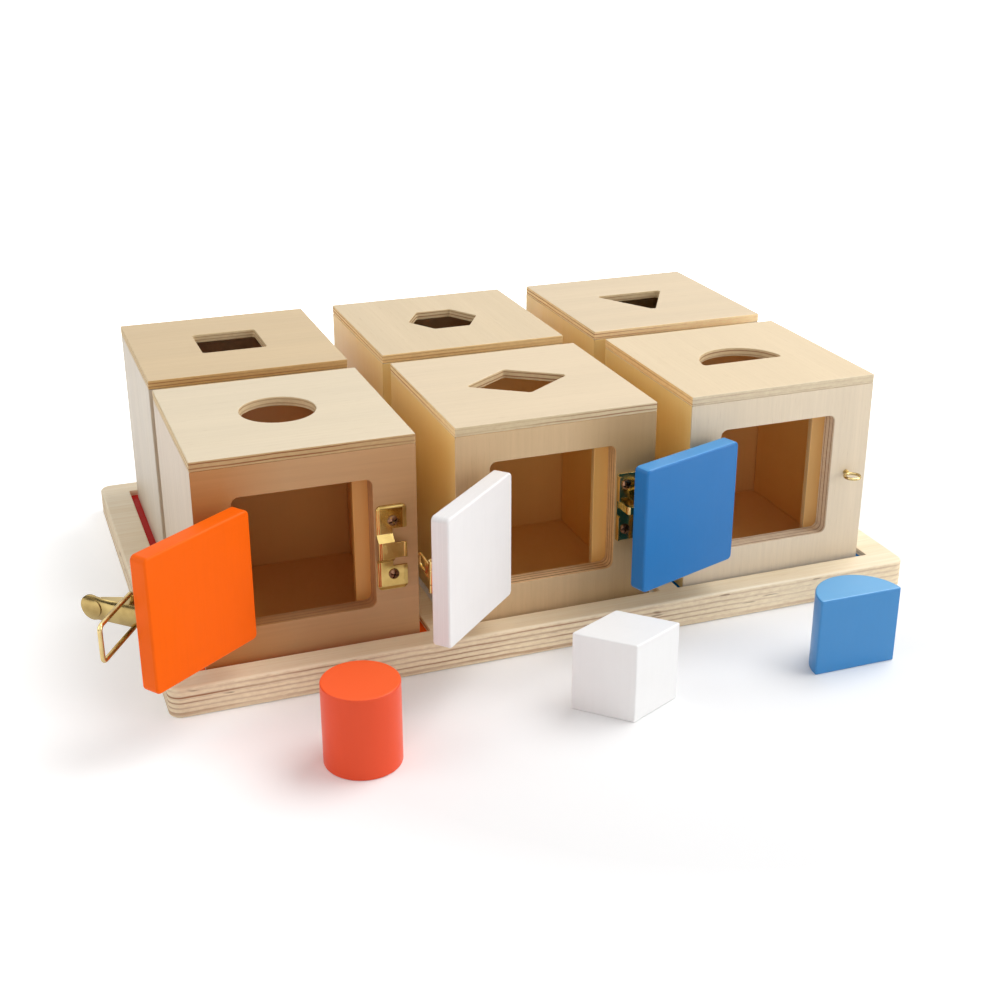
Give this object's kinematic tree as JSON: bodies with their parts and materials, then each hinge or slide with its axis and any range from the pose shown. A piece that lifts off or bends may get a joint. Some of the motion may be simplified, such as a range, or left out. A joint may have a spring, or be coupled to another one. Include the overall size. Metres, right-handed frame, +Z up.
{
  "type": "lock box",
  "caption": "Wooden lock box toy: plywood boxes in the recesses of one board, shaped holes in the lids, painted doors on brass hinges with different latches, and loose shape blocks",
  "frame": {"origin": "middle of the base board's underside", "axes": "+X along the rows to the right, +Y from the front row to the back row, +Z up"},
  "size_m": [0.4875, 0.3851, 0.135],
  "materials": {
    "base_ply": "clear-lacquered plywood",
    "birch_ply": "clear-lacquered birch plywood",
    "brass": "bright plated brass",
    "orange_paint": "satin painted plywood",
    "orange_block_paint": "satin painted wood",
    "white_paint": "satin painted plywood",
    "white_block_paint": "satin painted wood",
    "blue_paint": "satin painted plywood",
    "blue_block_paint": "satin painted wood",
    "red_paint": "satin painted plywood",
    "red_block_paint": "satin painted wood",
    "yellow_paint": "satin painted plywood",
    "yellow_block_paint": "satin painted wood",
    "green_paint": "satin painted plywood",
    "green_block_paint": "satin painted wood"
  },
  "bodies": {
    "base": {"base_board": "base_ply"},
    "round_box": {"round_lid": "birch_ply", "round_front": "birch_ply", "round_walls": "birch_ply", "round_hinge": "brass", "toggle_catch": "brass"},
    "round_door": {"round_door": "orange_paint", "round_door_leaf": "brass", "toggle_base": "brass"},
    "round_block": {"round_block": "orange_block_paint"},
    "rhombus_box": {"rhombus_lid": "birch_ply", "rhombus_front": "birch_ply", "rhombus_walls": "birch_ply", "rhombus_hinge": "brass", "hasp_staple": "brass"},
    "rhombus_door": {"rhombus_door": "white_paint", "rhombus_door_leaf": "brass", "hasp_leaf": "brass"},
    "rhombus_block": {"rhombus_block": "white_block_paint"},
    "half_round_box": {"half_round_lid": "birch_ply", "half_round_front": "birch_ply", "half_round_walls": "birch_ply", "half_round_hinge": "brass", "screw_eye": "brass"},
    "half_round_door": {"half_round_door": "blue_paint", "half_round_door_leaf": "brass", "hook_pivot": "brass"},
    "half_round_block": {"half_round_block": "blue_block_paint"},
    "square_box": {"square_lid": "birch_ply", "square_front": "birch_ply", "square_walls": "birch_ply", "square_hinge": "brass", "bolt_keeper": "brass"},
    "square_door": {"square_door": "red_paint", "square_door_leaf": "brass", "bolt_body": "brass"},
    "square_block": {"square_block": "red_block_paint"},
    "hexagon_box": {"hexagon_lid": "birch_ply", "hexagon_front": "birch_ply", "hexagon_walls": "birch_ply", "hexagon_hinge": "brass"},
    "hexagon_door": {"hexagon_door": "yellow_paint", "hexagon_door_leaf": "brass"},
    "hexagon_block": {"hexagon_block": "yellow_block_paint"},
    "triangle_box": {"triangle_lid": "birch_ply", "triangle_front": "birch_ply", "triangle_walls": "birch_ply", "triangle_hinge": "brass", "swing_stud": "brass"},
    "triangle_door": {"triangle_door": "green_paint", "triangle_door_leaf": "brass", "swing_pivot": "brass"},
    "triangle_block": {"triangle_block": "green_block_paint"},
    "toggle_lever": {"toggle_lever": "brass"},
    "toggle_bail": {"toggle_bail": "brass"},
    "hasp_strap": {"hasp_strap": "brass"},
    "hook": {"hook": "brass"},
    "bolt_rod": {"bolt_rod": "brass"},
    "turn_button": {"turn_button": "brass"},
    "swing_arm": {"swing_arm": "brass"}
  },
  "joints": [
    {"name": "round_box_lift", "type": "slide", "parent": "base", "child": "round_box", "axis": [0, 0, 1], "range_m": [0, 0.14]},
    {"name": "round_door_swing", "type": "hinge", "parent": "round_box", "child": "round_door", "pos_m": [-0.182, -0.13115, 0.07435], "axis": [0, 0, -1], "range_deg": [-144, 26]},
    {"name": "round_block_lift", "type": "slide", "parent": "base", "child": "round_block", "axis": [0, 0, 1], "range_m": [0, 0.15]},
    {"name": "rhombus_box_lift", "type": "slide", "parent": "base", "child": "rhombus_box", "axis": [0, 0, 1], "range_m": [0, 0.14]},
    {"name": "rhombus_door_swing", "type": "hinge", "parent": "rhombus_box", "child": "rhombus_door", "pos_m": [-0.04, -0.13115, 0.07435], "axis": [0, 0, -1], "range_deg": [-137, 13]},
    {"name": "rhombus_block_lift", "type": "slide", "parent": "base", "child": "rhombus_block", "axis": [0, 0, 1], "range_m": [0, 0.15]},
    {"name": "half_round_box_lift", "type": "slide", "parent": "base", "child": "half_round_box", "axis": [0, 0, 1], "range_m": [0, 0.14]},
    {"name": "half_round_door_swing", "type": "hinge", "parent": "half_round_box", "child": "half_round_door", "pos_m": [0.102, -0.13115, 0.07435], "axis": [0, 0, -1], "range_deg": [-161, 5]},
    {"name": "half_round_block_lift", "type": "slide", "parent": "base", "child": "half_round_block", "axis": [0, 0, 1], "range_m": [0, 0.15]},
    {"name": "square_box_lift", "type": "slide", "parent": "base", "child": "square_box", "axis": [0, 0, 1], "range_m": [0, 0.14]},
    {"name": "square_door_swing", "type": "hinge", "parent": "square_box", "child": "square_door", "pos_m": [-0.102, 0.13115, 0.07435], "axis": [0, 0, -1], "range_deg": [0, 160]},
    {"name": "square_block_lift", "type": "slide", "parent": "square_box", "child": "square_block", "axis": [0, 0, 1], "range_m": [0, 0.125]},
    {"name": "hexagon_box_lift", "type": "slide", "parent": "base", "child": "hexagon_box", "axis": [0, 0, 1], "range_m": [0, 0.14]},
    {"name": "hexagon_door_swing", "type": "hinge", "parent": "hexagon_box", "child": "hexagon_door", "pos_m": [0.04, 0.13115, 0.07435], "axis": [0, 0, -1], "range_deg": [0, 160]},
    {"name": "hexagon_block_lift", "type": "slide", "parent": "hexagon_box", "child": "hexagon_block", "axis": [0, 0, 1], "range_m": [0, 0.125]},
    {"name": "triangle_box_lift", "type": "slide", "parent": "base", "child": "triangle_box", "axis": [0, 0, 1], "range_m": [0, 0.14]},
    {"name": "triangle_door_swing", "type": "hinge", "parent": "triangle_box", "child": "triangle_door", "pos_m": [0.182, 0.13115, 0.07435], "axis": [0, 0, -1], "range_deg": [0, 160]},
    {"name": "triangle_block_lift", "type": "slide", "parent": "triangle_box", "child": "triangle_block", "axis": [0, 0, 1], "range_m": [0, 0.125]},
    {"name": "toggle_lever_turn", "type": "hinge", "parent": "round_door", "child": "toggle_lever", "pos_m": [-0.23269, -0.1626, 0.07135], "axis": [0, 0, 1], "range_deg": [-100, 50]},
    {"name": "toggle_bail_turn", "type": "hinge", "parent": "toggle_lever", "child": "toggle_bail", "pos_m": [-0.2385, -0.15422, 0.07135], "axis": [0, 0, 1], "range_deg": [-40.9, 81.3]},
    {"name": "hasp_strap_turn", "type": "hinge", "parent": "rhombus_door", "child": "hasp_strap", "pos_m": [-0.08915, -0.17698, 0.07435], "axis": [0, 0, -1], "range_deg": [-135, 35]},
    {"name": "hook_turn", "type": "hinge", "parent": "half_round_door", "child": "hook", "pos_m": [0.05267, -0.143, 0.07685], "axis": [-0.3256, 0.9455, 0], "range_deg": [-270, 45]},
    {"name": "bolt_slide", "type": "slide", "parent": "square_door", "child": "bolt_rod", "axis": [1, 0, 0], "range_m": [-0.011, 0]},
    {"name": "turn_button_turn", "type": "hinge", "parent": "hexagon_box", "child": "turn_button", "pos_m": [-0.043, 0.1305, 0.07435], "axis": [0, 1, 0], "range_deg": [-90, 90]},
    {"name": "swing_arm_turn", "type": "hinge", "parent": "triangle_door", "child": "swing_arm", "pos_m": [0.1275, 0.1325, 0.07735], "axis": [0, 1, 0], "range_deg": [-270, 45]}
  ],
  "couplings": [
    {"joint": "toggle_bail_turn", "follows": "toggle_lever_turn", "ratio": -0.80779}
  ]
}
